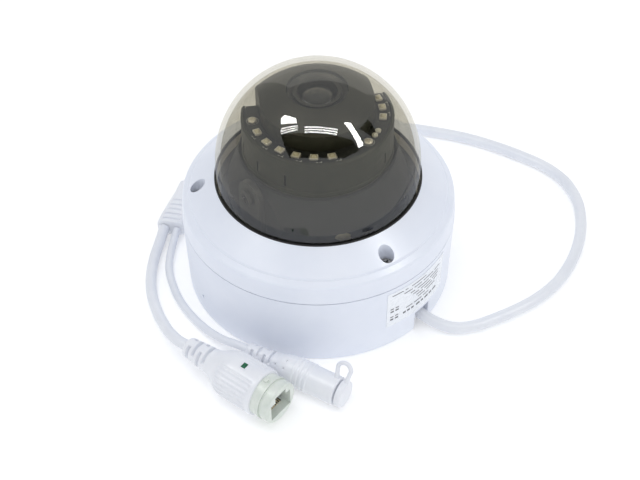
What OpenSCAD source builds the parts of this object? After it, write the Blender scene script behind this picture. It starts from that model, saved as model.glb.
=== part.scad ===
// Dome security camera on its back: +Z up through the dome, origin at the centre of the underside.

/* [Housing] */
// Radius of the housing at the seam between base and cover
body_r = 58; // [57.5:0.1:58.5]
// Radius of the housing at its foot
foot_r = 57.2; // [56.8:0.1:57.4]
// Height of the seam between base and cover
seam_z = 34.5; // [34:0.1:35]
// Height of the cover's upper outer edge
cover_edge_z = 43; // [42.6:0.1:43.4]
// Height of the rim round the dome opening
cover_top_z = 52.6; // [52.2:0.1:53]
// Thickness of the housing floor
floor_t = 3; // [2.5:0.1:3.5]

/* [Dome] */
// Outer radius of the dome bubble
dome_r = 42.5; // [42.3:0.1:42.5]
// Thickness of the dome bubble
dome_t = 2.2; // [1.8:0.1:2.2]
// Height of the dome's centre, which is also the tilt pivot
pivot_z = 60.3; // [60:0.1:60.6]

/* [Mounting] */
// Radius of the circle of mounting holes
mount_r = 46; // [45.5:0.1:46.5]
// Radius of a mounting hole
mount_hole_r = 2.25; // [2:0.05:2.5]

/* [Head] */
// Radius of the ball shell
ball_r = 38.4; // [38:0.1:38.6]
// Radius of the lamp drum
drum_r = 31.2; // [30.8:0.1:31.3]
// Height of the top of the lamp board
lamp_board_z = 84.4; // [84:0.1:84.6]
// Radius of the circle of infrared lamps
lamp_circle_r = 26.3; // [26:0.1:26.5]
// Direction of the tilt axis, in degrees from +X
yoke_az = 39; // [30:1:48]

/* [Leads] */
// Diameter of the main cable
main_d = 5; // [4.8:0.1:5]
// Diameter of the network lead
lan_d = 4.8; // [4.6:0.1:4.8]
// Diameter of the power lead
dc_d = 3.5; // [3.3:0.1:3.5]

/* [Hidden] */
$fn = 96;
eps = 0.01;
// running clearance of a turning fit
fit = 0.05;
// gap between faces that slide past each other
gap = 0.3;

// azimuths of the cover screws, of the mounting holes and of the pan pillars
cover_screw_az = [-58, -178, 62];
mount_az = [2, 122, -118];
pillar_az = [32, 152, -88];
cover_screw_r = 50.5;
retainer_screw_r = 48.5;
pillar_r = 49;
standoff_r = 38;
standoff_az = [20, 110, 200, 290];

wall_in_r = 54.9;
boss_r = 5.1;
// how far the screw bosses stop short of the seam
boss_recess = 0.3;
well_r = 3.25;
well_z = 38.6;
seal_t = 0.4;
opening_r = 43.4;
seat_z = 46.5;
flange_r = 45.2;
flange_z = 43.9;
flange_t = 2.2;
retainer_in_r = dome_r - dome_t + 0.9;
retainer_t = 2.2;
trim_in_r = 37;

// cable tunnel from the notch in the side to the grommet
tunnel_az = -41.5;
tunnel_w = 9;
tunnel_h = 10.5;
tunnel_in_r = 29;
grommet_r = 4;
grommet_lip_r = 4.7;
grommet_z = 6;

board_z = 14.5;
board_t = 1.6;
board_r = 43;
board_top = board_z + board_t;

pan_base_z = 22;
pan_base_t = 2.5;
pan_bore_r = 30;
stage_z = pan_base_z + pan_base_t + gap;
stage_t = 2.5;
stage_in_r = 23.5;
clip_t = 1.7;
clip_z = pan_base_z - gap - clip_t;
arm_in = 33.35;
arm_t = 2.5;
arm_w = 14;
flat_x = 33;
shell_t = 2.2;
shell_low_z = 38;
shoulder_z = 67;
shoulder_r = 32.4;
trunnion_r = 3;

drum_z = shoulder_z + gap;
drum_t = 1.5;
drum_top_z = lamp_board_z + 0.4;
neck_r = 29;
neck_in_r = 26.2;
neck_z = 61.6;
lamp_board_t = 1.6;
lamp_board_screw_az = [-171.7, -41];
lamp_az = concat([for (i = [0:5]) -155.5 + 15.5 * i], [for (i = [0:2]) -5 + 13 * i]);

// the raised hood over the lens: a round front and straight sides, under a ball-shaped top
hood_turn = 8;
hood_r = 23;
hood_ball_r = 39.2;
hood_back_r = 31;
hood_wall = 1.5;
hood_mouth_r = 12.4;
crescent_y = 9.2;
lens_top_z = 96.4;

// the RJ45 socket: start of its boot, heading and lengths along its axis
rj_start = [-54, -58, 10.2];
rj_az = -38.2;
rj_body_len = 40.1;
rj_face = 48.8;
rj_r = 10.1;
collar_r = 8.9;

// the DC socket: start of its boot, heading and lengths along its axis
dc_start = [-29.7, -56.5, 6.3];
dc_az = -31.6;
dc_body_len = 43.3;
dc_r = 6.1;
cap_r = 5.7;
cap_t = 3;
cap_gap = 0.7;
tether_az = 158;

// the splitter block: centre of its front face, heading towards its rear
splitter_front = [-66.5, 16.8];
splitter_az = 78;
splitter_len = 28;
splitter_h = 8.6;
splitter_w = 13;
splitter_rear_w = 7;

main_route = [
    [19.1, -16.9, 6], [28.5, -25.2, 6], [36, -31.4, 5.8], [42, -36, 5.1], [47, -39.4, 4],
    [53, -42.2, 3.1], [59, -43, 2.6], [66, -41.6, 2.6], [73, -38.6, 2.6], [83, -33.5, 2.6],
    [93, -27, 2.6], [103, -17.5, 2.6], [111, -5, 2.6], [116.2, 8, 2.6], [118.8, 21, 2.6],
    [118.8, 34, 2.6], [114.8, 47, 2.6], [107, 57, 2.6], [97, 64.5, 2.6], [85.5, 71.5, 2.6],
    [73, 77.6, 2.6], [60, 82, 2.6], [47, 85.3, 2.6], [34, 87.3, 2.6], [21, 88, 2.6],
    [8, 87.6, 2.6], [-5, 86, 2.6], [-18, 82.8, 2.6], [-30, 78.3, 2.6], [-41, 72.3, 2.6],
    [-50, 64.5, 2.8], [-56, 56.5, 3.4], [-59.7, 48.8, 4], [-60.7, 44.2, 4.3]];
lan_route = [
    [-69.4, 17.4, 4.3], [-71, 10, 3], [-72.8, 0, 2.5], [-73.4, -11, 2.5], [-72.2, -22, 2.5],
    [-69, -32.5, 2.8], [-66, -40, 4.4], [-62.6, -48, 7.6], [-58.4, -54.4, 9.8], [-54, -58, 10.2]];
dc_route = [
    [-63.7, 16.2, 4.3], [-65, 10, 2.6], [-66, 2, 1.9], [-65.8, -7, 1.9], [-63.6, -16, 1.9],
    [-60, -25, 1.9], [-54.8, -33.4, 1.9], [-48, -42, 2.6],
    [-40.5, -49.6, 4.6], [-34.2, -53.8, 6.1], [-29.7, -56.5, 6.3]];
harness_route = [
    [19.1, -16.9, 6], [12, -10.7, 6.2], [5, -4.6, 7.8], [-1, 0.6, 10.2], [-6.5, 5.4, 12]];
harness_d = 4;
plug_turn = 139;

function unit(v) = v / norm(v);
function tangent(route, i) = unit(route[min(i + 1, len(route) - 1)] - route[max(i - 1, 0)]);
function ring(centre, way, r, n) =
    let (side = unit(cross(way, [0, 0, 1])), lift = cross(side, way))
    [for (k = [0:n - 1]) centre + r * (cos(360 * k / n) * side + sin(360 * k / n) * lift)];

// a round cord with one ring of points at each point of its route
module cord_tube(route, d, sides) {
    count = len(route);
    points = [for (i = [0:count - 1]) each ring(route[i], tangent(route, i), d / 2, sides)];
    start = [[for (k = [sides - 1:-1:0]) k]];
    finish = [[for (k = [0:sides - 1]) (count - 1) * sides + k]];
    skin = [for (i = [0:count - 2], k = [0:sides - 1])
        let (a = i * sides + k, b = i * sides + (k + 1) % sides)
        each [[a, b, b + sides], [a, b + sides, a + sides]]];
    polyhedron(points, concat(start, skin, finish));
}

// children at a radius and azimuth
module at_polar(r, az) {
    rotate([0, 0, az]) translate([r, 0, 0]) children();
}

module ring_solid(r_in, r_out, z, h) {
    translate([0, 0, z]) difference() {
        cylinder(r = r_out, h = h);
        translate([0, 0, -1]) cylinder(r = r_in, h = h + 2);
    }
}

// a box centred in X and Y with its foot at z
module slab(size, z) {
    translate([-size[0] / 2, -size[1] / 2, z]) cube(size);
}

// pan-head screw: the head's underside at z = 0, the shank downward, a cross recess on top
module pan_screw(head_r, head_h, shank_r, shank_len) {
    recess_w = head_r * 0.3;
    recess_l = head_r * 1.15;
    difference() {
        union() {
            cylinder(r = head_r, h = head_h * 0.6);
            translate([0, 0, head_h * 0.6 - eps]) cylinder(r1 = head_r, r2 = head_r * 0.72, h = head_h * 0.4);
            translate([0, 0, -shank_len]) cylinder(r = shank_r, h = shank_len + eps);
        }
        for (turn = [0, 90]) rotate([0, 0, turn]) slab([recess_l, recess_w, head_h], head_h * 0.45);
    }
}

module base_shell() {
    rotate_extrude() polygon([
        [0, 0], [foot_r - 0.6, 0], [foot_r, 0.6], [body_r, seam_z - seal_t / 2],
        [wall_in_r, seam_z - seal_t / 2], [wall_in_r - 0.6, floor_t], [0, floor_t]]);
}

module base_housing() {
    boss_top = seam_z - seal_t / 2 - boss_recess;
    color("whitesmoke") difference() {
        union() {
            base_shell();
            for (az = cover_screw_az) at_polar(cover_screw_r, az) cylinder(r = boss_r, h = boss_top);
            for (az = pillar_az) at_polar(pillar_r, az) cylinder(r = 3.6, h = pan_base_z);
            for (az = mount_az) at_polar(mount_r, az) cylinder(r = 4.6, h = floor_t + 2);
            for (az = standoff_az) at_polar(standoff_r, az) cylinder(r = 3, h = board_z);
            rotate([0, 0, tunnel_az]) translate([tunnel_in_r - 2, -tunnel_w / 2 - 2, 0])
                cube([wall_in_r - tunnel_in_r + 2, tunnel_w + 4, tunnel_h + 2]);
        }
        rotate([0, 0, tunnel_az]) translate([tunnel_in_r, -tunnel_w / 2, -1])
            cube([body_r, tunnel_w, tunnel_h + 1]);
        rotate([0, 0, tunnel_az]) translate([tunnel_in_r - 4, 0, grommet_z]) rotate([0, 90, 0]) {
            cylinder(r = grommet_r + fit, h = 8);
            cylinder(r = grommet_lip_r + fit, h = 2.3);
        }
        for (az = mount_az) at_polar(mount_r, az) translate([0, 0, -1])
            cylinder(r = mount_hole_r, h = floor_t + 4);
        for (az = cover_screw_az) at_polar(cover_screw_r, az) translate([0, 0, 20])
            cylinder(r = 2 + fit, h = 20);
        for (az = pillar_az) at_polar(pillar_r, az) translate([0, 0, 12])
            cylinder(r = 1.25 + fit, h = 20);
        for (az = standoff_az) at_polar(standoff_r, az) translate([0, 0, 6])
            cylinder(r = 1.2 + fit, h = 20);
        rotate([0, 0, -149]) translate([foot_r - 1.5, 0, 9.5]) rotate([0, 90, 0])
            cylinder(r = 0.8, h = 4);
    }
}

// the solid of revolution that the cover is cut from, filled to its axis
module cover_solid(low_z) {
    slope = (cover_top_z - cover_edge_z) / (body_r - 0.7 - opening_r);
    groove_r = 54.4;
    groove_z = cover_edge_z + (body_r - 0.7 - groove_r) * slope;
    rotate_extrude() polygon([
        [0, low_z], [body_r, low_z], [body_r - 0.6, cover_edge_z - 0.5],
        [body_r - 1.1, cover_edge_z + 0.3], [groove_r + 0.5, groove_z - 0.5 * slope],
        [groove_r, groove_z - 0.3], [groove_r - 0.5, groove_z + 0.5 * slope],
        [opening_r + 0.5, cover_top_z - 0.35], [opening_r, cover_top_z], [0, cover_top_z]]);
}

module cover() {
    low_z = seam_z + seal_t / 2;
    lip_low_z = low_z - 3;
    color("whitesmoke") difference() {
        union() {
            difference() {
                cover_solid(low_z);
                rotate_extrude() polygon([
                    [0, low_z - 1], [wall_in_r, low_z - 1], [wall_in_r, 40.4], [54.2, 41.8],
                    [48.8, 46], [47.6, seat_z], [0, seat_z]]);
            }
            difference() {
                ring_solid(53.6, wall_in_r + eps, lip_low_z, 6);
                ring_solid(wall_in_r - 0.4, wall_in_r + 1, lip_low_z - 1, 4 - seal_t / 2);
            }
            intersection() {
                cover_solid(low_z);
                union() {
                    for (az = cover_screw_az) at_polar(cover_screw_r, az) translate([0, 0, low_z + boss_recess])
                        cylinder(r = boss_r, h = 20);
                    for (az = mount_az) at_polar(retainer_screw_r, az) translate([0, 0, flange_z + 0.1])
                        cylinder(r = 2.8, h = 20);
                }
            }
        }
        translate([0, 0, seat_z - 4]) cylinder(r = opening_r, h = 20);
        for (az = cover_screw_az) at_polar(cover_screw_r, az) {
            translate([0, 0, well_z]) cylinder(r = well_r, h = 20);
            translate([0, 0, 30]) cylinder(r = 2.2, h = 20);
            translate([0, 0, lip_low_z - 1])
                cylinder(r = boss_r + 0.5, h = low_z - lip_low_z + 1 - boss_recess);
        }
        for (az = mount_az) at_polar(retainer_screw_r, az) translate([0, 0, 40])
            cylinder(r = 0.95 + fit, h = 7);
    }
}

module cover_seal() {
    color("dimgray") ring_solid(55.6, 56.8, seam_z - seal_t / 2, seal_t);
}

module cover_screws() {
    color("silver") for (az = cover_screw_az) at_polar(cover_screw_r, az) translate([0, 0, well_z])
        rotate([0, 0, 25]) pan_screw(2.95, 2.4, 2, 16);
}

module dome_bubble() {
    color("gray", 0.5) difference() {
        union() {
            intersection() {
                translate([0, 0, pivot_z]) sphere(r = dome_r, $fn = 160);
                translate([0, 0, pivot_z - eps]) cylinder(r = dome_r + 5, h = dome_r + 5);
            }
            translate([0, 0, flange_z]) cylinder(r = dome_r, h = pivot_z - flange_z, $fn = 160);
            translate([0, 0, flange_z]) cylinder(r = flange_r, h = flange_t);
        }
        translate([0, 0, pivot_z]) sphere(r = dome_r - dome_t, $fn = 160);
        translate([0, 0, flange_z - 1]) cylinder(r = dome_r - dome_t, h = pivot_z - flange_z + 1, $fn = 160);
    }
}

module dome_gasket() {
    low = flange_z + flange_t + fit;
    color("black") rotate_extrude($fn = 160) polygon([
        [dome_r + fit, low], [flange_r, low], [flange_r, seat_z - fit], [opening_r - fit, seat_z - fit],
        [opening_r - fit, cover_top_z + 0.5], [dome_r + fit, cover_top_z + 0.5]]);
}

// an ear plate shared by the two rings under the dome
module eared_ring(r_in, r_out, z, h) {
    difference() {
        union() {
            ring_solid(r_in, r_out, z, h);
            for (az = mount_az) at_polar(retainer_screw_r, az) translate([0, 0, z]) cylinder(r = 2.8, h = h);
            for (az = mount_az) rotate([0, 0, az]) translate([r_out - 1, -2.8, z])
                cube([retainer_screw_r - r_out + 1, 5.6, h]);
        }
        for (az = mount_az) at_polar(retainer_screw_r, az) translate([0, 0, z - 1])
            cylinder(r = 1.15, h = h + 2);
    }
}

module dome_retainer() {
    color("silver") eared_ring(retainer_in_r, flange_r, flange_z - retainer_t - 0.1, retainer_t);
}

module trim_ring() {
    plate_t = 0.9;
    z = flange_z - retainer_t - plate_t - 0.2;
    color("black") union() {
        eared_ring(trim_in_r, flange_r, z, plate_t);
        ring_solid(trim_in_r, trim_in_r + 0.9, z, 5.4);
    }
}

module retainer_screws() {
    z = flange_z - retainer_t - 1.1;
    color("silver") for (az = mount_az) at_polar(retainer_screw_r, az) translate([0, 0, z])
        rotate([180, 0, 0]) pan_screw(1.9, 1.3, 0.95, 6);
}

module rating_label() {
    low = 12;
    high = 32;
    low_r = foot_r + (body_r - foot_r) * low / seam_z + 0.03;
    high_r = foot_r + (body_r - foot_r) * high / seam_z + 0.03;
    color("white") rotate([0, 0, -61.7]) rotate_extrude(angle = 34.2, $fn = 160)
        polygon([[low_r, low], [low_r + 0.15, low], [high_r + 0.15, high], [high_r, high]]);
}

module cable_grommet() {
    color("black") rotate([0, 0, tunnel_az]) translate([0, 0, grommet_z]) rotate([0, 90, 0]) difference() {
        union() {
            translate([0, 0, tunnel_in_r - 3.3]) cylinder(r = grommet_lip_r, h = 1.5);
            translate([0, 0, tunnel_in_r - 2.2]) cylinder(r = grommet_r, h = 2.4);
            translate([0, 0, tunnel_in_r + 0.1]) cylinder(r = grommet_r + 0.3, h = 1.2);
            translate([0, 0, tunnel_in_r + 1.2]) cylinder(r1 = grommet_r, r2 = 3.3, h = 8);
        }
        cylinder(r = main_d / 2 + 0.15, h = 60);
    }
}

module main_board() {
    color("darkgreen") difference() {
        translate([0, 0, board_z]) cylinder(r = board_r, h = board_t);
        for (az = standoff_az) at_polar(standoff_r, az) cylinder(r = 1.5, h = 40);
    }
}

module board_screws() {
    color("silver") for (az = standoff_az) at_polar(standoff_r, az) translate([0, 0, board_top])
        pan_screw(2.3, 1.6, 1.2, 8);
}

module board_chips() {
    color("dimgray") union() {
        translate([2, 8, 0]) slab([14, 14, 1.5], board_top);
        translate([-13, 11, 0]) slab([9, 12, 1.1], board_top);
        translate([17, 6, 0]) slab([8, 6, 1.6], board_top);
        translate([-10, -9, 0]) slab([13, 10, 3.8], board_top);
        translate([5, -9, 0]) slab([5, 5, 1], board_top);
    }
    for (i = [0:5]) at_polar(32 + (i % 2) * 3, 62 * i + 55) translate([0, 0, board_top])
        color("tan") slab([3.2, 1.8, 1.4], 0);
}

module board_headers() {
    color("ivory") for (place = [[15, -8, 20], [-3, -19, 0], [-19, 0, 90]])
        translate([place[0], place[1], board_top]) rotate([0, 0, place[2]]) difference() {
            slab([9, 4.6, 3.6], 0);
            slab([7.6, 3.2, 4], 1);
        }
}

// the header under the board that the harness plugs into sideways
module harness_plug() {
    color("ivory") translate([-6.5, 5.4, 0]) rotate([0, 0, plug_turn]) translate([5, 0, 0])
        slab([10, 8, 3.9], board_z - 4);
}

module harness() {
    color("lightgray") cord_tube(harness_route, harness_d, 10);
}

module pan_base() {
    color("silver") difference() {
        union() {
            translate([0, 0, pan_base_z]) cylinder(r = 40, h = pan_base_t);
            for (az = pillar_az) {
                at_polar(pillar_r, az) translate([0, 0, pan_base_z]) cylinder(r = 4.2, h = pan_base_t);
                rotate([0, 0, az]) translate([37, -4.2, pan_base_z]) cube([pillar_r - 37, 8.4, pan_base_t]);
            }
        }
        cylinder(r = pan_bore_r, h = 60);
        for (az = pillar_az) at_polar(pillar_r, az) cylinder(r = 1.6, h = 60);
    }
}

module pan_base_screws() {
    color("silver") for (az = pillar_az) at_polar(pillar_r, az) translate([0, 0, pan_base_z + pan_base_t])
        pan_screw(2.6, 1.9, 1.25, 9);
}

// places children on both sides of the yoke, with +X outward along the tilt axis
module both_sides() {
    for (turn = [0, 180]) rotate([0, 0, yoke_az + turn]) children();
}

module pan_stage() {
    color("gray") difference() {
        union() {
            ring_solid(stage_in_r, 39, stage_z, stage_t);
            ring_solid(stage_in_r + 2.5, pan_bore_r - fit, pan_base_z - gap, pan_base_t + 2 * gap + 1);
            both_sides() {
                translate([arm_in, -arm_w / 2, stage_z]) cube([arm_t, arm_w, pivot_z - stage_z]);
                translate([arm_in, 0, pivot_z]) rotate([0, 90, 0]) cylinder(r = arm_w / 2, h = arm_t);
            }
        }
        both_sides() translate([arm_in - 1, 0, pivot_z]) rotate([0, 90, 0])
            cylinder(r = trunnion_r + fit, h = arm_t + 2);
        for (az = pillar_az) at_polar(28, az) cylinder(r = 1.05, h = stage_z + 1);
    }
}

module pan_clip() {
    color("silver") difference() {
        ring_solid(stage_in_r + 2.5, 34, clip_z, clip_t);
        for (az = pillar_az) at_polar(28, az) cylinder(r = 1.2, h = 60);
    }
}

module pan_clip_screws() {
    color("silver") for (az = pillar_az) at_polar(28, az) translate([0, 0, clip_z]) rotate([180, 0, 0])
        pan_screw(1.8, 1.2, 1, 4.5);
}

module ball_shell() {
    color("darkslategray") difference() {
        union() {
            difference() {
                intersection() {
                    translate([0, 0, pivot_z]) sphere(r = ball_r, $fn = 160);
                    rotate_extrude($fn = 160) polygon([
                        [0, shell_low_z], [ball_r + 1, shell_low_z], [ball_r + 1, 52.8],
                        [ball_r - 0.8, 53], [shoulder_r, shoulder_z], [0, shoulder_z]]);
                    rotate([0, 0, yoke_az]) translate([-flat_x, -50, 0]) cube([2 * flat_x, 100, 100]);
                }
                intersection() {
                    translate([0, 0, pivot_z]) sphere(r = ball_r - shell_t, $fn = 160);
                    rotate_extrude($fn = 160) polygon([
                        [0, shell_low_z - 5], [ball_r, shell_low_z - 5], [ball_r, 52.8],
                        [35.3, 53], [32, neck_z + 0.4], [0, neck_z + 0.4]]);
                    rotate([0, 0, yoke_az]) translate([-flat_x + 1.8, -50, 0]) cube([2 * flat_x - 3.6, 100, 100]);
                }
            }
            both_sides() translate([flat_x - 1, 0, pivot_z]) rotate([0, 90, 0])
                cylinder(r = trunnion_r, h = arm_t + 1.6);
        }
        translate([0, 0, pivot_z]) cylinder(r = neck_r, h = 20, $fn = 160);
        both_sides() translate([flat_x - 3, 0, pivot_z]) rotate([0, 90, 0])
            cylinder(r = 1.25 + fit, h = 10);
    }
}

module tilt_screws() {
    head_x = flat_x - 1 + arm_t + 1.6;
    color("silver") both_sides() translate([head_x, 0, pivot_z]) rotate([0, 90, 0])
        pan_screw(3.6, 1.8, 1.25, 3.8);
}

// everything behind the straight back of the lamp board, in the turned head's frame
module behind_crescent(y, z) {
    rotate([0, 0, hood_turn]) translate([-50, y, z]) cube([100, 60, 60]);
}

module lamp_drum() {
    slit_az = [-165, -141, -115, -30, -4];
    floor_z = drum_z + 2;
    color("darkslategray") difference() {
        union() {
            difference() {
                rotate_extrude($fn = 160) polygon([
                    [10.2, drum_z], [neck_in_r, drum_z], [neck_in_r, neck_z], [neck_r - fit, neck_z],
                    [neck_r - fit, drum_z], [drum_r, drum_z], [drum_r, drum_z + 2.6],
                    [drum_r - 0.3, drum_z + 2.9], [drum_r - 0.3, drum_top_z - 0.7],
                    [drum_r - 1, drum_top_z], [drum_r - drum_t, drum_top_z],
                    [drum_r - drum_t, floor_z], [10.2, floor_z]]);
                behind_crescent(crescent_y, drum_z + 3.4);
            }
            intersection() {
                translate([0, 0, floor_z - 0.5]) cylinder(r = drum_r - 0.8, h = lamp_board_z - lamp_board_t - floor_z);
                rotate([0, 0, hood_turn]) for (side = [-1, 1])
                    translate([side * 28 - 4.8, crescent_y - drum_t - 0.3, 0]) cube([9.6, drum_t, 100]);
            }
            for (az = lamp_board_screw_az) at_polar(lamp_circle_r, az) translate([0, 0, drum_z + 1])
                cylinder(r = 2.2, h = lamp_board_z - lamp_board_t - drum_z - 1);
        }
        for (az = lamp_board_screw_az) at_polar(lamp_circle_r, az) translate([0, 0, drum_z + 4])
            cylinder(r = 0.95 + fit, h = 30);
        for (az = slit_az) rotate([0, 0, az]) translate([drum_r - 3, -0.5, drum_z + 4])
            cube([5, 1, 5.5]);
    }
}

module roll_clip() {
    color("black") ring_solid(neck_in_r, 30.6, neck_z - 1.9, 1.9);
}

module lamp_board() {
    low = lamp_board_z - lamp_board_t;
    color("darkgreen") difference() {
        ring_solid(12.2, drum_r - drum_t - 0.3, low, lamp_board_t);
        behind_crescent(crescent_y, low - 10);
        for (az = lamp_board_screw_az) at_polar(lamp_circle_r, az) translate([0, 0, low - 1])
            cylinder(r = 1.1, h = 4);
    }
}

module lamp_board_screws() {
    color("silver") for (az = lamp_board_screw_az) at_polar(lamp_circle_r, az)
        translate([0, 0, lamp_board_z]) pan_screw(1.8, 1, 0.95, 6);
}

module ir_lamps() {
    color("khaki") for (az = lamp_az) at_polar(lamp_circle_r, az) {
        slab([2.9, 3.3, 0.8], lamp_board_z);
        intersection() {
            translate([0, 0, lamp_board_z + 0.2]) sphere(r = 1.25, $fn = 32);
            slab([2.8, 2.8, 2], lamp_board_z + 0.8 - eps);
        }
    }
}

module light_sensor() {
    color("wheat") for (az = [-31, -24.5]) at_polar(lamp_circle_r, az) translate([0, 0, lamp_board_z]) {
        cylinder(r = 1.2, h = 0.7, $fn = 32);
        intersection() {
            translate([0, 0, 0.4]) sphere(r = 0.95, $fn = 32);
            cylinder(r = 1.1, h = 2);
        }
    }
}

// the hood's outline under its ball-shaped top, in the turned head's frame
module hood_form(inset, low_z) {
    r = hood_r - inset;
    flat = r - 0.1;
    intersection() {
        translate([0, 0, pivot_z]) sphere(r = hood_ball_r - inset, $fn = 160);
        translate([0, 0, low_z]) cylinder(r = hood_back_r - inset, h = 60);
        translate([0, 0, low_z]) union() {
            cylinder(r = r, h = 50);
            translate([-flat, 0, 0]) cube([2 * flat, 40, 50]);
        }
    }
}

module lens_hood() {
    low = drum_z + 3.5;
    front_low = lamp_board_z + 0.1;
    color("black") rotate([0, 0, hood_turn]) difference() {
        hood_form(0, low);
        hood_form(hood_wall, low - 1);
        translate([0, 0, lens_top_z - 4]) cylinder(r = hood_mouth_r, h = 20);
        translate([-40, crescent_y + 0.2 - 60, 0]) cube([80, 60, front_low]);
    }
}

module lens_holder() {
    color("black") difference() {
        union() {
            slab([22, 22, 3], drum_z - 3.1);
            translate([0, 0, drum_z - 1]) cylinder(r = 9.8, h = 13);
        }
        translate([0, 0, drum_z - 5]) cylinder(r = 8 + fit, h = 25);
        for (sx = [-1, 1]) translate([9 * sx, 9 * sx, drum_z - 5]) cylinder(r = 0.8 + fit, h = 4);
    }
}

module lens_barrel() {
    flange_low = drum_z + 12.4;
    color("black") difference() {
        union() {
            translate([0, 0, drum_z + 2]) cylinder(r = 8, h = flange_low - drum_z);
            translate([0, 0, flange_low]) cylinder(r = 9.6, h = lens_top_z - 0.3 - flange_low);
        }
        translate([0, 0, drum_z]) cylinder(r = 6.2, h = 40);
        translate([0, 0, lens_top_z - 3.4]) cylinder(r1 = 6.4, r2 = 8.2, h = 3.2);
    }
}

module lens_bezel() {
    color("black") difference() {
        translate([0, 0, lamp_board_z]) cylinder(r = 12.1, h = lens_top_z - lamp_board_z);
        translate([0, 0, lamp_board_z - 1]) cylinder(r = 9.7, h = 20);
        translate([0, 0, lens_top_z - 1]) cylinder(r1 = 10.2, r2 = 11.8, h = 1.1);
    }
}

module front_glass() {
    sphere_r = 14;
    glass_r = 6.1;
    glass_low = lens_top_z - 3;
    color("lightsteelblue", 0.6) intersection() {
        translate([0, 0, lens_top_z - 0.6 - sphere_r]) sphere(r = sphere_r, $fn = 96);
        translate([0, 0, glass_low]) cylinder(r = glass_r, h = 6);
    }
}

module sensor_board() {
    low = drum_z - 4.7;
    color("darkgreen") union() {
        difference() {
            slab([24, 24, 1.4], low);
            for (sx = [-1, 1]) translate([9 * sx, 9 * sx, low - 1]) cylinder(r = 1, h = 4);
        }
        slab([9, 8, 1.2], low + 1.4 - eps);
    }
}

module sensor_screws() {
    color("silver") for (sx = [-1, 1]) translate([9 * sx, 9 * sx, drum_z - 4.7]) rotate([180, 0, 0])
        pan_screw(1.5, 1, 0.8, 3.6);
}

module main_cable() {
    color("white") cord_tube(main_route, main_d, 12);
}

module splitter_block() {
    module layer(inset, z) {
        front = splitter_w / 2 - inset;
        rear = splitter_rear_w / 2 - inset;
        translate([0, 0, z]) linear_extrude(0.02) polygon([
            [0, -front], [splitter_len, -rear], [splitter_len, rear], [0, front]]);
    }
    color("white") translate([splitter_front[0], splitter_front[1], 0]) rotate([0, 0, splitter_az])
        difference() {
            hull() {
                layer(1, 0);
                layer(0, splitter_h / 2);
                layer(0.9, splitter_h - 0.02);
            }
            for (i = [0:4]) translate([1.8 + 3 * i, -splitter_w / 2 + 2.6, splitter_h - 0.6])
                cube([0.9, splitter_w - 5.2, 2]);
        }
}

module lan_lead() {
    color("white") cord_tube(lan_route, lan_d, 12);
}

// children with +Z along the RJ45 socket's axis, -X up
module along_rj() {
    translate(rj_start) rotate([0, 0, rj_az]) rotate([0, 90, 0]) children();
}

module relief_slots(r, z, pitch, count, slot_w, depth) {
    for (i = [0:count - 1]) rotate([0, 0, 90 * (i % 2)]) translate([0, 0, z + pitch * i]) difference() {
        ring_solid(r - depth, r + 5, 0, slot_w);
        slab([60, r * 0.7, 20], -10);
    }
}

module rj45_body() {
    color("white") along_rj() difference() {
        rotate_extrude() polygon([
            [0, 0.1], [3.7, 0.1], [4.3, 0.8], [5.7, 13.9], [6.5, 16], [8.5, 19.6], [9.8, 22.4],
            [rj_r, 24.6], [rj_r, rj_body_len - 0.8], [rj_r - 0.8, rj_body_len], [0, rj_body_len]]);
        translate([0, 0, 30]) cylinder(r = collar_r + fit, h = 30);
        relief_slots(4.9, 2.4, 3, 4, 1.3, 1.4);
        translate([-rj_r - 1, -1.4, 29.6]) cube([2, 2.8, 2.2]);
    }
}

// outline of the socket's cavity: the plug's box with the latch notch on top (-X)
module rj_cavity(deep) {
    translate([-3.4, -5.9, rj_face - deep]) cube([8.4, 11.8, deep + 1]);
    translate([-6.2, -3.2, rj_face - deep]) cube([3.6, 6.4, deep + 1]);
}

module rj45_collar() {
    color("beige") along_rj() difference() {
        union() {
            translate([0, 0, 30.1]) cylinder(r = collar_r, h = rj_face - 30.1 - 0.4);
            translate([0, 0, rj_face - 0.4 - eps]) cylinder(r1 = collar_r, r2 = collar_r - 0.4, h = 0.4);
            translate([0, 0, 43.4]) cylinder(r = collar_r + 0.35, h = 0.9);
            translate([-collar_r - 0.8, -0.9, 41]) cube([1.6, 1.8, 1.6]);
        }
        ring_solid(collar_r - 0.35, collar_r + 2, 44.3, 1);
        rj_cavity(14);
    }
}

module rj45_contacts() {
    deep_z = rj_face - 13.9;
    color("gold") along_rj() union() {
        translate([3.2, -4.8, deep_z]) cube([1.7, 9.6, 2.4]);
        for (i = [0:7]) translate([4, -3.57 + 1.02 * i, deep_z + 1]) rotate([0, -22, 0])
            cylinder(r = 0.25, h = 5, $fn = 16);
    }
}

module rj45_window() {
    color("green") along_rj() translate([-rj_r - 0.05, -1.3, 29.7]) cube([1, 2.6, 2]);
}

module dc_lead() {
    color("white") cord_tube(dc_route, dc_d, 8);
}

// children with +Z along the DC socket's axis, -X up
module along_dc() {
    translate(dc_start) rotate([0, 0, dc_az]) rotate([0, 90, 0]) children();
}

module dc_body() {
    color("white") along_dc() difference() {
        union() {
            rotate_extrude() polygon([
                [0, 0.1], [2.5, 0.1], [2.9, 0.6], [4.3, 14.4], [5, 17], [5.8, 20.4], [dc_r, 23],
                [dc_r, dc_body_len - 0.4], [dc_r - 0.3, dc_body_len], [0, dc_body_len]]);
            for (i = [0:3]) translate([0, 0, 23.4 + 2.1 * i]) cylinder(r = dc_r + 0.2, h = 1.2);
        }
        translate([0, 0, 30]) cylinder(r = 4 + fit, h = 30);
        relief_slots(3.4, 2.6, 3, 4, 1.2, 0.9);
    }
}

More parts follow.
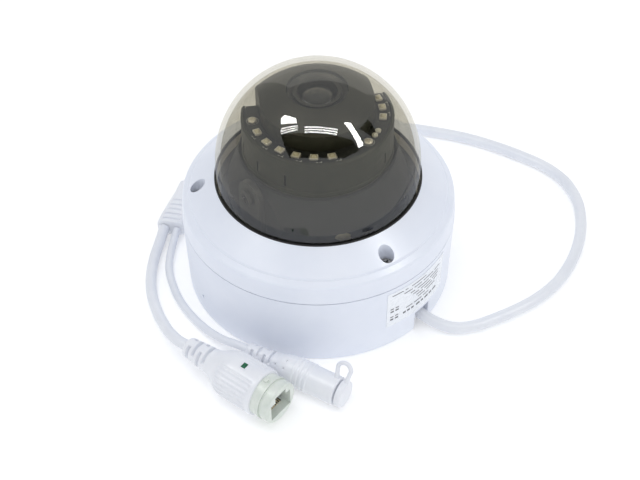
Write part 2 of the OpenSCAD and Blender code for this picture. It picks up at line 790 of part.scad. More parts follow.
module dc_jack() {
    color("dimgray") along_dc() difference() {
        translate([0, 0, 30.1]) cylinder(r = 4, h = dc_body_len - 30.6);
        translate([0, 0, 32]) cylinder(r = 2.85, h = 30);
    }
}

module dc_pin() {
    color("silver") along_dc() union() {
        translate([0, 0, 32 + fit]) cylinder(r = 1, h = 9);
        translate([0, 0, 41]) cylinder(r1 = 1, r2 = 0.6, h = 0.6);
    }
}

module dc_cap() {
    low = dc_body_len + cap_gap;
    color("white") along_dc() difference() {
        union() {
            translate([0, 0, low]) cylinder(r = cap_r, h = cap_t - 0.4);
            translate([0, 0, low + cap_t - 0.4 - eps]) cylinder(r1 = cap_r, r2 = cap_r - 0.5, h = 0.4);
            translate([0, 0, low - 10]) cylinder(r = 2.75, h = 10 + eps);
        }
        translate([0, 0, low - 11]) cylinder(r = 1.35, h = 11);
    }
}

// loop of soft strap from the end of the body to the cap
module cap_tether() {
    mid = dc_body_len + 0.5;
    reach = 2.4;
    strap = 1.5;
    loop_r = 11;
    foot_r_body = dc_r + gap + 0.1;
    color("white") along_dc() rotate([0, 0, tether_az]) union() {
        translate([loop_r, 0, mid]) rotate([90, 0, 0]) rotate([0, 0, -90]) rotate_extrude(angle = 180)
            translate([reach, 0]) circle(r = strap / 2, $fn = 24);
        translate([foot_r_body, 0, mid - reach]) rotate([0, 90, 0])
            cylinder(r = strap / 2, h = loop_r - foot_r_body + eps, $fn = 24);
        translate([cap_r - 0.1, 0, mid + reach]) rotate([0, 90, 0])
            cylinder(r = strap / 2, h = loop_r - cap_r + 0.1 + eps, $fn = 24);
    }
}

base_housing();
cover();
cover_seal();
cover_screws();
dome_bubble();
dome_gasket();
dome_retainer();
trim_ring();
retainer_screws();
rating_label();
cable_grommet();
main_board();
board_screws();
board_chips();
board_headers();
harness_plug();
harness();
pan_base();
pan_base_screws();
pan_stage();
pan_clip();
pan_clip_screws();
ball_shell();
tilt_screws();
lamp_drum();
roll_clip();
lamp_board();
lamp_board_screws();
ir_lamps();
light_sensor();
lens_hood();
lens_holder();
lens_barrel();
lens_bezel();
front_glass();
sensor_board();
sensor_screws();
main_cable();
splitter_block();
lan_lead();
rj45_body();
rj45_collar();
rj45_contacts();
rj45_window();
dc_lead();
dc_body();
dc_jack();
dc_pin();
dc_cap();
cap_tether();
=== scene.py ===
import math

import bmesh
import bpy
from mathutils import Matrix, Vector


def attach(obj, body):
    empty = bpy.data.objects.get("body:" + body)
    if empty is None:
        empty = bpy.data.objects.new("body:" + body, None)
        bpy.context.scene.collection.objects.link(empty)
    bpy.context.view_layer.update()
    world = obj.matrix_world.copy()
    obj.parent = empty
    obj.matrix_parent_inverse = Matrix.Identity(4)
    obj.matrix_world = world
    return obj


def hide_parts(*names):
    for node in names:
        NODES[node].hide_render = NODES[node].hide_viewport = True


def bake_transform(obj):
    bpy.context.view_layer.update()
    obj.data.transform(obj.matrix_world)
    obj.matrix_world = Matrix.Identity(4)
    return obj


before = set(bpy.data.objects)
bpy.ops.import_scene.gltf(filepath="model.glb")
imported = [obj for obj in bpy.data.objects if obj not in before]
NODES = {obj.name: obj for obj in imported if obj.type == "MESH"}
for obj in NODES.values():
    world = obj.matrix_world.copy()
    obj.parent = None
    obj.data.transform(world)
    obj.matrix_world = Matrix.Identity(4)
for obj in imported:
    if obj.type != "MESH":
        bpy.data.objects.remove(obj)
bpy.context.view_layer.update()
MM = 0.001


# The frame's millimetres that several pieces share
PIVOT_Z = 60.3  # centre of the dome and of the ball
BALL_R = 38.35  # the ball's skin
WELL_AZIMUTHS = (-58, -178, 62)
WELL_CIRCLE = 50.5  # radius of the circle that the screw wells stand on
BOARD_TOP = 84.4  # top face of the lamp board
LAMP_CIRCLE = 26.3  # radius of the circle that the lamps stand on
LAMP_AZIMUTHS = [-155.5 + 15.5 * i for i in range(6)] + [-5 + 13 * i for i in range(3)]
WALL_FOOT_R, WALL_RISE, WALL_H = 57.2, 0.8, 34.5  # the housing wall widens upward


def v(x, y, z):
    """A point given in millimetres, in metres."""
    return Vector((x, y, z)) * MM


def turns(count):
    """The angles of so many equal steps round a circle."""
    return [2 * math.pi * k / count for k in range(count)]


def link_object(name, data):
    o = bpy.data.objects.new(name, data)
    bpy.context.scene.collection.objects.link(o)
    return o


# ---------------------------------------------------------------- camera
CAMERA_AT = (0, -0.43123, 0.44733)
CAMERA_FORWARD = (0.00081424, 0.70434922, -0.70985317)
CAMERA_UP = (0.01050215, 0.70980823, 0.70431668)
CAMERA_SENSOR, CAMERA_LENS = 36, 78.75

cam = link_object("camera", bpy.data.cameras.new("camera"))
cam.data.sensor_width = CAMERA_SENSOR
cam.data.lens = CAMERA_LENS
cam.data.clip_start, cam.data.clip_end = 0.02, 20
forward = Vector(CAMERA_FORWARD).normalized()
right = forward.cross(Vector(CAMERA_UP)).normalized()
turn = Matrix((right, right.cross(forward), -forward)).transposed().to_4x4()
cam.matrix_world = Matrix.Translation(CAMERA_AT) @ turn
bpy.context.scene.camera = cam


# ---------------------------------------------------------------- materials
class Mat:
    """A node material with a Principled shader and short helpers."""

    def __init__(self, name, base, rough, **sockets):
        self.mat = bpy.data.materials.new(name)
        self.mat.use_nodes = True
        self.nt = self.mat.node_tree
        self.nt.nodes.clear()
        self.out = self.nt.nodes.new("ShaderNodeOutputMaterial")
        self.bsdf = self.nt.nodes.new("ShaderNodeBsdfPrincipled")
        self.nt.links.new(self.bsdf.outputs[0], self.out.inputs[0])
        self.set("Base Color", (*base, 1))
        self.set("Roughness", rough)
        for key, value in sockets.items():
            self.set(key.replace("_", " "), value)
        self.coord = self.node("ShaderNodeTexCoord")

    def set(self, socket, value):
        self.bsdf.inputs[socket].default_value = value

    def node(self, kind, **props):
        n = self.nt.nodes.new(kind)
        for key, value in props.items():
            setattr(n, key, value)
        return n

    def link(self, a, b):
        self.nt.links.new(a, b)
        return self

    def noise(self, scale, detail=3, stretch=None):
        """A noise texture's factor output, in object space; scale is in waves per metre."""
        n = self.node("ShaderNodeTexNoise")
        n.inputs["Scale"].default_value = scale
        n.inputs["Detail"].default_value = detail
        n.inputs["Roughness"].default_value = 0.55
        source = self.coord.outputs["Object"]
        if stretch:
            m = self.node("ShaderNodeMapping")
            m.inputs["Scale"].default_value = stretch
            self.link(source, m.inputs["Vector"])
            source = m.outputs[0]
        self.link(source, n.inputs["Vector"])
        return n.outputs["Fac"]

    def ramp(self, fac, low, high):
        """The factor turned into a colour or a grey between low and high."""
        r = self.node("ShaderNodeValToRGB")
        for element, position, level in zip(r.color_ramp.elements, (0.3, 0.7), (low, high)):
            element.position = position
            element.color = (*level, 1) if isinstance(level, tuple) else (level, level, level, 1)
        self.link(fac, r.inputs[0])
        return r.outputs[0]

    def colour(self, low, high, scale):
        self.link(self.ramp(self.noise(scale), low, high), self.bsdf.inputs["Base Color"])
        return self

    def roughness(self, low, high, scale, stretch=None):
        grain = self.noise(scale, stretch=stretch)
        self.link(self.ramp(grain, low, high), self.bsdf.inputs["Roughness"])
        return self

    def bump(self, scale, height, strength, detail=3):
        """Bump from noise; height is in metres."""
        b = self.node("ShaderNodeBump")
        b.inputs["Strength"].default_value = strength
        b.inputs["Distance"].default_value = height
        self.link(self.noise(scale, detail), b.inputs["Height"])
        self.link(b.outputs[0], self.bsdf.inputs["Normal"])
        return self

    def feed(self, node, *values):
        """Fills the node's inputs in order, from numbers or other nodes' outputs; gives its output."""
        for socket, value in zip(node.inputs, values):
            if isinstance(value, (int, float)):
                socket.default_value = value
            else:
                self.link(value, socket)
        return node.outputs[0]

    def math(self, operation, *values):
        return self.feed(self.node("ShaderNodeMath", operation=operation), *values)

    def mix(self, share, first, second):
        return self.feed(self.node("ShaderNodeMixShader"), share, first, second)


M = {}
M["shell"] = (
    Mat("shell_paint", (0.82, 0.85, 0.92), 0.33, Specular_IOR_Level=0.5)
    .colour((0.80, 0.84, 0.935), (0.84, 0.875, 0.96), 60)
    .roughness(0.28, 0.40, 900)
    .bump(2600, 0.00006, 0.22, 2))
M["rubber"] = (
    Mat("gasket_rubber", (0.012, 0.012, 0.014), 0.55)
    .colour((0.008, 0.008, 0.010), (0.020, 0.020, 0.022), 900)
    .roughness(0.45, 0.65, 1500)
    .bump(3500, 0.00004, 0.3))
M["steel"] = (
    Mat("screw_steel", (0.50, 0.48, 0.44), 0.3, Metallic=1.0)
    .colour((0.38, 0.36, 0.33), (0.58, 0.56, 0.52), 1400)
    .roughness(0.22, 0.42, 2600)
    .bump(5000, 0.00003, 0.3))
M["plate"] = (
    Mat("plated_steel", (0.55, 0.56, 0.56), 0.36, Metallic=1.0)
    .colour((0.48, 0.49, 0.50), (0.62, 0.62, 0.60), 500)
    .roughness(0.3, 0.45, 1400, stretch=(1, 1, 8))
    .bump(1800, 0.00004, 0.2))
M["ball"] = (
    Mat("ball_plastic", (0.011, 0.013, 0.015), 0.55, Specular_IOR_Level=0.25)
    .colour((0.008, 0.010, 0.012), (0.015, 0.017, 0.019), 160)
    .roughness(0.5, 0.62, 400)
    .bump(380, 0.00005, 0.06, 2))
M["drum"] = (
    Mat("drum_plastic", (0.038, 0.042, 0.030), 0.46)
    .colour((0.031, 0.036, 0.025), (0.046, 0.050, 0.036), 170)
    .roughness(0.44, 0.56, 400)
    .bump(380, 0.00005, 0.06, 2))
M["hood"] = (
    Mat("hood_plastic", (0.026, 0.028, 0.017), 0.42)
    .colour((0.021, 0.023, 0.013), (0.032, 0.034, 0.021), 190)
    .roughness(0.40, 0.52, 400)
    .bump(380, 0.00005, 0.06, 2))
M["trim"] = (
    Mat("trim_plastic", (0.040, 0.043, 0.042), 0.5)
    .colour((0.032, 0.035, 0.034), (0.050, 0.053, 0.052), 200)
    .roughness(0.42, 0.56, 900)
    .bump(1200, 0.00004, 0.18))
M["lens"] = (
    Mat("lens_black", (0.020, 0.021, 0.020), 0.35)
    .colour((0.014, 0.015, 0.014), (0.030, 0.031, 0.029), 600)
    .roughness(0.28, 0.45, 2400)
    .bump(5000, 0.00003, 0.3))
M["board"] = (
    Mat("board_mask", (0.018, 0.10, 0.045), 0.35)
    .colour((0.014, 0.085, 0.038), (0.024, 0.125, 0.055), 350)
    .roughness(0.28, 0.42, 900)
    .bump(1500, 0.00004, 0.3))
M["lampboard"] = (
    Mat("lamp_board_mask", (0.015, 0.018, 0.018), 0.38)
    .colour((0.011, 0.014, 0.014), (0.021, 0.024, 0.023), 420)
    .roughness(0.30, 0.46, 1100)
    .bump(1900, 0.00003, 0.3))
M["chip"] = (
    Mat("chip_epoxy", (0.030, 0.030, 0.032), 0.5)
    .colour((0.022, 0.022, 0.024), (0.045, 0.045, 0.047), 700)
    .roughness(0.42, 0.6, 2000)
    .bump(3000, 0.00003, 0.3))
M["ivory"] = (
    Mat("ivory_plastic", (0.72, 0.77, 0.71), 0.36,
        Subsurface_Weight=0.12, Subsurface_Radius=(0.0016, 0.0018, 0.0014))
    .colour((0.68, 0.74, 0.68), (0.77, 0.81, 0.76), 240)
    .roughness(0.30, 0.42, 900)
    .bump(1700, 0.00004, 0.22))
M["pvc"] = (
    Mat("pvc_white", (0.84, 0.855, 0.90), 0.34,
        Subsurface_Weight=0.10, Subsurface_Radius=(0.0020, 0.0018, 0.0018))
    .colour((0.81, 0.83, 0.885), (0.865, 0.88, 0.92), 120)
    .roughness(0.29, 0.42, 700)
    .bump(1500, 0.00005, 0.22))
M["cable"] = (
    Mat("cable_jacket", (0.80, 0.82, 0.87), 0.38)
    .colour((0.775, 0.80, 0.86), (0.83, 0.85, 0.895), 90)
    .roughness(0.32, 0.46, 800)
    .bump(1400, 0.00006, 0.28))
M["cap"] = (
    Mat("cap_soft", (0.83, 0.845, 0.90), 0.42,
        Subsurface_Weight=0.12, Subsurface_Radius=(0.0018, 0.0016, 0.0016))
    .colour((0.805, 0.825, 0.885), (0.855, 0.87, 0.915), 200)
    .roughness(0.36, 0.50, 900)
    .bump(1800, 0.00005, 0.25))
M["gold"] = (
    Mat("gold_contacts", (0.56, 0.47, 0.30), 0.3, Metallic=0.8)
    .colour((0.46, 0.38, 0.23), (0.64, 0.55, 0.38), 2200)
    .roughness(0.18, 0.34, 3000))
M["window"] = (
    Mat("green_window", (0.005, 0.11, 0.050), 0.25)
    .colour((0.003, 0.070, 0.030), (0.012, 0.17, 0.080), 1100)
    .roughness(0.18, 0.32, 2000)
    .bump(3000, 0.00003, 0.25))
M["label"] = (
    Mat("label_film", (0.88, 0.91, 0.96), 0.28)
    .colour((0.86, 0.895, 0.95), (0.90, 0.925, 0.97), 120)
    .roughness(0.22, 0.34, 700)
    .bump(900, 0.00003, 0.15))
M["ink"] = (
    Mat("label_ink", (0.13, 0.135, 0.15), 0.45)
    .colour((0.10, 0.105, 0.12), (0.20, 0.205, 0.22), 1800)
    .roughness(0.38, 0.52, 2600))
M["silk"] = (
    Mat("silk_print", (0.70, 0.72, 0.68), 0.5)
    .colour((0.58, 0.60, 0.56), (0.80, 0.82, 0.78), 3000)
    .roughness(0.42, 0.6, 3000))
M["lamp_case"] = (
    Mat("lamp_ceramic", (0.93, 0.90, 0.80), 0.4)
    .colour((0.90, 0.86, 0.75), (0.96, 0.94, 0.86), 900)
    .roughness(0.32, 0.5, 2200)
    .bump(2600, 0.00003, 0.25))
M["lamp_resin"] = (
    Mat("lamp_resin", (0.80, 0.71, 0.45), 0.16, Coat_Weight=0.4)
    .colour((0.78, 0.71, 0.50), (0.92, 0.87, 0.68), 1200)
    .roughness(0.10, 0.24, 2400))
M["sensor"] = (
    Mat("sensor_resin", (0.82, 0.78, 0.62), 0.2, Coat_Weight=0.4)
    .colour((0.84, 0.81, 0.68), (0.95, 0.93, 0.83), 1500)
    .roughness(0.12, 0.28, 2400))
M["jack"] = (
    Mat("jack_plastic", (0.03, 0.03, 0.032), 0.45)
    .colour((0.022, 0.022, 0.024), (0.045, 0.045, 0.047), 700)
    .roughness(0.38, 0.55, 1600)
    .bump(2500, 0.00003, 0.3))
M["glass"] = (
    Mat("lens_glass", (0.55, 0.60, 0.66), 0.03, Transmission_Weight=1.0, IOR=1.5, Coat_Weight=0.6)
    .roughness(0.01, 0.05, 900))
M["nickel"] = (
    Mat("bright_screw", (0.90, 0.86, 0.76), 0.4, Metallic=0.45)
    .colour((0.80, 0.74, 0.62), (0.96, 0.94, 0.87), 1300)
    .roughness(0.32, 0.5, 2600)
    .bump(3000, 0.00003, 0.25))
M["black_screw"] = (
    Mat("black_screw", (0.030, 0.032, 0.030), 0.4, Metallic=0.6)
    .colour((0.022, 0.024, 0.022), (0.050, 0.052, 0.048), 1400)
    .roughness(0.34, 0.5, 2400)
    .bump(3000, 0.00003, 0.25))
# A faint glow on the band behind the dome's skirt: painted light standing in for the light that barely
# reaches the cover's wall in that narrow gap.
M["painted_glow"] = (
    Mat("painted_glow_band", (0.78, 0.76, 0.68), 0.5,
        Emission_Color=(0.9, 0.87, 0.78, 1), Emission_Strength=0.16)
    .colour((0.74, 0.72, 0.64), (0.82, 0.80, 0.72), 200)
    .roughness(0.45, 0.6, 700))
M["blob"] = (
    Mat("cable_tie_beige", (0.45, 0.42, 0.33), 0.5)
    .colour((0.38, 0.36, 0.28), (0.50, 0.47, 0.38), 500)
    .roughness(0.42, 0.6, 1500)
    .bump(2000, 0.00005, 0.3))


DOME_TINT = (0.82, 0.805, 0.755), (0.85, 0.835, 0.785)
DOME_HAZE = (0.09, 0.09, 0.07), (0.13, 0.13, 0.10)
DOME_HAZE_SHARE = 0.015, 0.03
GLOSS_FACE_ON, GLOSS_AT_EDGE, GLOSS_POWER = 0.074, 0.40, 5


def smoked_dome():
    """Thin smoked polycarbonate: a tinted see-through shell with a sharp reflection that grows at its edge.

    Only outward faces reflect, so each wall shows one clean reflection."""
    m = Mat("smoked_dome", (0.5, 0.5, 0.5), 0.02)
    m.nt.nodes.remove(m.bsdf)
    tint = m.node("ShaderNodeBsdfTransparent")
    m.link(m.ramp(m.noise(14, 2), *DOME_TINT), tint.inputs["Color"])
    gloss = m.node("ShaderNodeBsdfGlossy")
    gloss.inputs["Color"].default_value = (1, 1, 1, 1)
    m.link(m.ramp(m.noise(60, 2), 0.001, 0.005), gloss.inputs["Roughness"])
    haze = m.node("ShaderNodeBsdfDiffuse")
    m.link(m.ramp(m.noise(40), *DOME_HAZE), haze.inputs["Color"])
    facing = m.node("ShaderNodeLayerWeight")
    facing.inputs["Blend"].default_value = 0.5
    rise = m.math("POWER", facing.outputs["Facing"], GLOSS_POWER)
    edge = m.math("MULTIPLY_ADD", rise, GLOSS_AT_EDGE, GLOSS_FACE_ON)
    front = m.math("MULTIPLY_ADD", m.node("ShaderNodeNewGeometry").outputs["Backfacing"], -1, 1)
    share = m.math("MULTIPLY", edge, front)
    haze_share = m.ramp(m.noise(30), *DOME_HAZE_SHARE)
    smoke = m.mix(haze_share, tint.outputs[0], haze.outputs[0])
    m.link(m.mix(share, smoke, gloss.outputs[0]), m.out.inputs[0])
    return m


M["dome"] = smoked_dome()

PAINT = dict(
    base_housing="shell", cover="shell", cover_seal="rubber", cover_screws="steel", dome_bubble="dome",
    dome_gasket="rubber", dome_retainer="plate", trim_ring="trim", retainer_screws="steel",
    rating_label="label", cable_grommet="rubber", main_board="board", board_screws="steel",
    board_chips="chip", board_headers="ivory", harness_plug="ivory", harness="cable",
    pan_base="plate", pan_base_screws="steel", pan_stage="trim", pan_clip="plate",
    pan_clip_screws="steel", ball_shell="ball", tilt_screws="black_screw", lamp_drum="drum",
    roll_clip="trim", lamp_board="lampboard", lamp_board_screws="nickel", ir_lamps="lamp_case",
    light_sensor="sensor", lens_hood="hood", lens_holder="lens", lens_barrel="lens",
    lens_bezel="lens", front_glass="glass", sensor_board="board", sensor_screws="steel",
    main_cable="cable", splitter_block="pvc", lan_lead="cable", rj45_body="pvc",
    rj45_collar="ivory", rj45_contacts="gold", rj45_window="window", dc_lead="cable",
    dc_body="pvc", dc_jack="jack", dc_pin="steel", dc_cap="cap", cap_tether="cap")
for name, key in PAINT.items():
    mesh = NODES[name].data
    mesh.materials.clear()
    mesh.materials.append(M[key].mat)


# ---------------------------------------------------------------- mesh helpers
def add(name, mesh, mat, body, replaces=(), sharp=40, extra=()):
    """Links a mesh as a piece, with its materials and body, and hides the CAD nodes it replaces."""
    o = link_object(name, mesh)
    for m in (mat, *extra):
        mesh.materials.append(M[m].mat)
    mesh.shade_smooth()
    mesh.set_sharp_from_angle(angle=math.radians(sharp))
    if body:
        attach(o, body)
    if replaces:
        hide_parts(*replaces)
    return o


def to_mesh(bm, name):
    mesh = bpy.data.meshes.new(name)
    bm.to_mesh(mesh)
    bm.free()
    return mesh


def from_bm(bm, name):
    """The mesh with its faces turned outward."""
    bmesh.ops.recalc_face_normals(bm, faces=bm.faces)
    return to_mesh(bm, name)


def rings_into(bm, rings, closed=False):
    """Joins rings of points, all with the same count; closed joins the last ring to the first too."""
    rows = [[bm.verts.new(p) for p in ring] for ring in rings]
    n = len(rows[0])
    pairs = list(zip(rows, rows[1:])) + ([(rows[-1], rows[0])] if closed else [])
    for a, b in pairs:
        for k in range(n):
            bm.faces.new((a[k], a[(k + 1) % n], b[(k + 1) % n], b[k]))
    return rows


def grid_mesh(name, rings, closed=False):
    """A tube through the rings, with its ends filled, or a closed ring without ends."""
    bm = bmesh.new()
    rows = rings_into(bm, rings, closed)
    if not closed:
        bm.faces.new(rows[0])
        bm.faces.new(rows[-1])
    return from_bm(bm, name)


def softened(profile, radius, steps):
    """The profile with each inner corner rounded off."""
    out = [Vector(profile[0])]
    for a, b, c in zip(profile, profile[1:], profile[2:]):
        a, b, c = Vector(a), Vector(b), Vector(c)
        back, on = a - b, c - b
        p = b + back.normalized() * min(radius, back.length / 2.05)
        q = b + on.normalized() * min(radius, on.length / 2.05)
        shares = [i / steps for i in range(steps + 1)]
        out += [p.lerp(b, t).lerp(b.lerp(q, t), t) for t in shares]
    return out + [Vector(profile[-1])]


def revolved(name, profile, sides, place=v):
    """A closed outline of (radius, height) points in millimetres, turned about the place's own Z."""
    rings = []
    for radius, height in profile:
        r = max(radius, 0.02)
        rings.append([place(r * math.cos(t), r * math.sin(t), height) for t in turns(sides)])
    return grid_mesh(name, rings, closed=True)


def smooth_route(points, per_span=6):
    """Points on a smooth curve through the given ones."""
    p = [Vector(q) for q in points]
    p = [p[0] * 2 - p[1], *p, p[-1] * 2 - p[-2]]
    out = []
    for a, b, c, d in zip(p, p[1:], p[2:], p[3:]):
        for k in range(per_span):
            t = k / per_span
            square = (2 * a - 5 * b + 4 * c - d) * t * t
            cube = (3 * b - a - 3 * c + d) * t ** 3
            out.append(0.5 * (2 * b + (c - a) * t + square + cube))
    return out + [p[-2]]


def tube(name, route, radius, sides):
    """A round tube along the route, in metres; radius may be a function of the share of the way."""
    rings = []
    for i, p in enumerate(route):
        way = (route[min(i + 1, len(route) - 1)] - route[max(i - 1, 0)]).normalized()
        side = way.cross(Vector((0, 0, 1)))
        side = side.normalized() if side.length > 1e-4 else Vector((1, 0, 0))
        lift = side.cross(way)
        r = radius(i / (len(route) - 1)) if callable(radius) else radius
        rings.append([p + r * (math.cos(t) * side + math.sin(t) * lift) for t in turns(sides)])
    return grid_mesh(name, rings)


def route_length(route):
    return sum((b - a).length for a, b in zip(route, route[1:]))


def connector_frame(start, azimuth):
    """A connector's own frame in millimetres: +Z along its axis, -X up."""
    return (Matrix.Translation(start) @ Matrix.Rotation(math.radians(azimuth), 4, "Z")
            @ Matrix.Rotation(math.pi / 2, 4, "Y"))


def along(start, azimuth):
    """Moves a point from a connector's own frame, in millimetres, to metres."""
    m = connector_frame(start, azimuth)
    return lambda x, y, z: m @ Vector((x, y, z)) * MM


def ease(lo, hi, x):
    """A smooth step from 0 at lo to 1 at hi."""
    t = min(max((x - lo) / (hi - lo), 0), 1)
    return t * t * (3 - 2 * t)


def interp(table, x):
    """The straight line between the table's (x, y) points, held level past its ends."""
    for (x0, y0), (x1, y1) in zip(table, table[1:]):
        if x <= x1:
            return y0 + (y1 - y0) * min(max((x - x0) / (x1 - x0), 0), 1)
    return table[-1][1]


def turned(name, place, stations, radius, sides):
    """A body turned about a connector's axis, its radius a function of height and angle."""
    rings = []
    for z in stations:
        radii = [(radius(z, t), t) for t in turns(sides)]
        rings.append([place(r * math.cos(t), r * math.sin(t), z) for r, t in radii])
    return grid_mesh(name, rings)


def spread(a, b, step):
    """Evenly spaced values from a up to, but not including, b, about a step apart."""
    n = max(int(round((b - a) / step)), 1)
    return [a + (b - a) * i / n for i in range(n)]


# ---------------------------------------------------------------- cords
main_route = smooth_route([v(*p) for p in [
    (19.1, -16.9, 6), (28.5, -25.2, 6), (36, -31.4, 5.8), (42, -36, 5.1), (47, -39.4, 4),
    (53, -42.2, 3.1), (59, -43, 2.6), (66, -41.6, 2.6), (73, -38.6, 2.6), (83, -33.5, 2.6),
    (93, -27, 2.6), (103, -17.5, 2.6), (111, -5, 2.6), (116.2, 8, 2.6), (118.8, 21, 2.6),
    (118.8, 34, 2.6), (114.8, 47, 2.6), (107, 57, 2.6), (97, 64.5, 2.6), (85.5, 71.5, 2.6),
    (73, 77.6, 2.6), (60, 82, 2.6), (47, 85.3, 2.6), (34, 87.3, 2.6), (21, 88, 2.6),
    (8, 87.6, 2.6), (-5, 86, 2.6), (-18, 82.8, 2.6), (-30, 78.3, 2.6), (-41, 72.3, 2.6),
    (-50, 64.5, 2.8), (-56, 56.5, 3.4), (-59.7, 48.8, 4), (-60.7, 44.2, 4.3)]])
lan_route = smooth_route([v(*p) for p in [
    (-69.4, 17.4, 4.3), (-71, 10, 3), (-72.8, 0, 2.5), (-73.4, -11, 2.5), (-72.2, -22, 2.5),
    (-69, -32.5, 2.8), (-66, -40, 4.4), (-62.6, -48, 7.6), (-58.4, -54.4, 9.8), (-54, -58, 10.2)]])
dc_route = smooth_route([v(*p) for p in [
    (-63.7, 16.2, 4.3), (-65, 10, 2.6), (-66, 2, 1.9), (-65.8, -7, 1.9), (-63.6, -16, 1.9),
    (-60, -25, 1.9), (-54.8, -33.4, 1.9), (-48, -42, 2.6), (-40.5, -49.6, 4.6),
    (-34.2, -53.8, 6.1), (-29.7, -56.5, 6.3)]])



def cord_piece(name, route, radius, sides, node):
    return add(name, tube(name, route, radius * MM, sides), "cable", "housing", [node])


main_cord = cord_piece("main_cord", main_route, 2.5, 32, "main_cable")
lan_cord = cord_piece("lan_cord", lan_route, 2.4, 28, "lan_lead")
dc_cord = cord_piece("dc_cord", dc_route, 1.75, 28, "dc_lead")


# ---------------------------------------------------------------- splitter
SPLITTER_FRONT = (-66.5, 16.8)
SPLITTER_AZIMUTH = 78
SPLITTER_LENGTH, SPLITTER_HEIGHT = 28, 8.6
SPLITTER_WIDE, SPLITTER_NARROW = 6.5, 3.5  # half widths of its two ends
END_ROUNDING = 0.9
GROOVE_FIRST, GROOVE_PITCH, GROOVE_COUNT, GROOVE_DEPTH = 2.25, 3, 5, 0.75


def rounded(x, power=0.62):
    """A cosine or sine bent so that its ring is a square with round corners."""
    return math.copysign(abs(x) ** power, x)


def splitter_mesh():
    """A block that narrows to the main cable's end, with grooves across its top."""
    azimuth = math.radians(SPLITTER_AZIMUTH)
    ahead = Vector((math.cos(azimuth), math.sin(azimuth)))
    aside = Vector((-ahead.y, ahead.x))
    middle = SPLITTER_HEIGHT / 2
    rings = []
    for x in [0, 0.08, 0.3, 0.7, *spread(1.2, 27, 0.22), 27, 27.5, 27.8, 27.95, SPLITTER_LENGTH]:
        end = min(min(x, SPLITTER_LENGTH - x) / END_ROUNDING, 1)
        shrink = END_ROUNDING * (1 - math.sqrt(max(0, 1 - (1 - end) ** 2)))
        narrowing = (SPLITTER_NARROW - SPLITTER_WIDE) * ease(0, SPLITTER_LENGTH, x)
        half = SPLITTER_WIDE + narrowing - shrink
        off = min(abs(x - GROOVE_FIRST - GROOVE_PITCH * i) for i in range(GROOVE_COUNT))
        groove = GROOVE_DEPTH * (1 - ease(0.3, 0.6, off))
        ring = []
        for t in turns(64):
            y = half * rounded(math.cos(t))
            z = middle + (middle - shrink) * rounded(math.sin(t))
            if math.sin(t) > 0.1:
                z -= groove * (1 - ease(half - 2.9, half - 2.3, abs(y)))
            p = Vector(SPLITTER_FRONT) + ahead * x + aside * y
            ring.append(v(p.x, p.y, max(z, 0.05)))
        rings.append(ring)
    return grid_mesh("splitter_shell", rings)


splitter = add("splitter_shell", splitter_mesh(), "pvc", "housing",
               ["splitter_block"], sharp=50)


# ---------------------------------------------------------------- network socket
RJ_PLACE = (-54, -58, 10.2), -38.2  # the boot's end and the azimuth of the axis
RJ_PROFILE = [(0.1, 3.7), (0.5, 4.2), (0.9, 4.35), (13.9, 5.7), (15, 6.0), (16.4, 6.7),
              (18, 7.7), (19.6, 8.6), (21.2, 9.35), (22.8, 9.85), (24.6, 10.1), (39.2, 10.1),
              (39.75, 9.95), (40.0, 9.7), (40.1, 9.3)]
RJ_RIBS, RJ_RIB_DEPTH = 30, 0.40


def relief(z, t, first, pitch, count, width, depth, edge=0.16):
    """How deep the alternating strain-relief slots are at this height and angle."""
    for i in range(count):
        start = first + pitch * i
        stop = start + width
        if start - edge < z < stop + edge:
            web = abs(math.sin(t)) if i % 2 == 0 else abs(math.cos(t))
            fall = ease(start - edge, start + edge, z)
            climb = 1 - ease(stop - edge, stop + edge, z)
            return depth * ease(0.36, 0.50, web) * fall * climb
    return 0.0


def rj_radius(z, t):
    """The boot's slots, then ribs all round the body but for a smooth patch on top."""
    r = interp(RJ_PROFILE, z) - relief(z, t, 2.4, 3, 4, 1.35, 1.75)
    off_top = abs(t - math.pi)
    rib = ease(math.radians(22), math.radians(28), off_top)
    rib *= ease(20.5, 22.0, z) * (1 - ease(37.2, 38.2, z))
    wave = 0.5 + 0.5 * math.cos(RJ_RIBS * t)
    return r - RJ_RIB_DEPTH * rib * ease(0.15, 0.75, wave)


rj_stations = [0.1, 0.2, 0.35, 0.5, 0.7, *spread(0.9, 14.2, 0.13), *spread(14.2, 39, 0.4),
               39, 39.2, 39.4, 39.6, 39.75, 39.88, 40.0, 40.06, 40.1]
rj_mesh = turned("rj45_shell", along(*RJ_PLACE), rj_stations, rj_radius, 240)
rj_shell = add("rj45_shell", rj_mesh, "pvc", "housing", ["rj45_body"], sharp=60)


# ---------------------------------------------------------------- power socket
dc = along((-29.7, -56.5, 6.3), -31.6)
DC_PROFILE = [(0.1, 2.5), (0.4, 2.8), (0.7, 2.95), (14.4, 4.3), (15.6, 4.55), (17, 4.95),
              (18.6, 5.4), (20.4, 5.78), (22, 6.0), (23, 6.1), (42.9, 6.1), (43.1, 6.04),
              (43.25, 5.92), (43.3, 5.8)]
DC_DENTS = [(19.75, 189), (15.25, 225), (19.75, 225)]  # height and angle of each
DC_DENT_DEPTH = 0.9
DC_RINGS = [23.4 + 2.1 * i for i in range(4)]
DC_RING_HEIGHT = 0.34


def dc_radius(z, t):
    """The boot's slots, three small dents and four raised rings."""
    r = interp(DC_PROFILE, z) - relief(z, t, 2.6, 3, 4, 1.2, 1.15, 0.14)
    for dent_z, dent_t in DC_DENTS:
        off = math.hypot(z - dent_z, r * math.radians(math.degrees(t) - dent_t))
        r -= DC_DENT_DEPTH * (1 - ease(0.15, 0.45, off))
    for a in DC_RINGS:
        r += DC_RING_HEIGHT * ease(a - 0.15, a + 0.3, z) * (1 - ease(a + 1.0, a + 1.45, z))
    return r


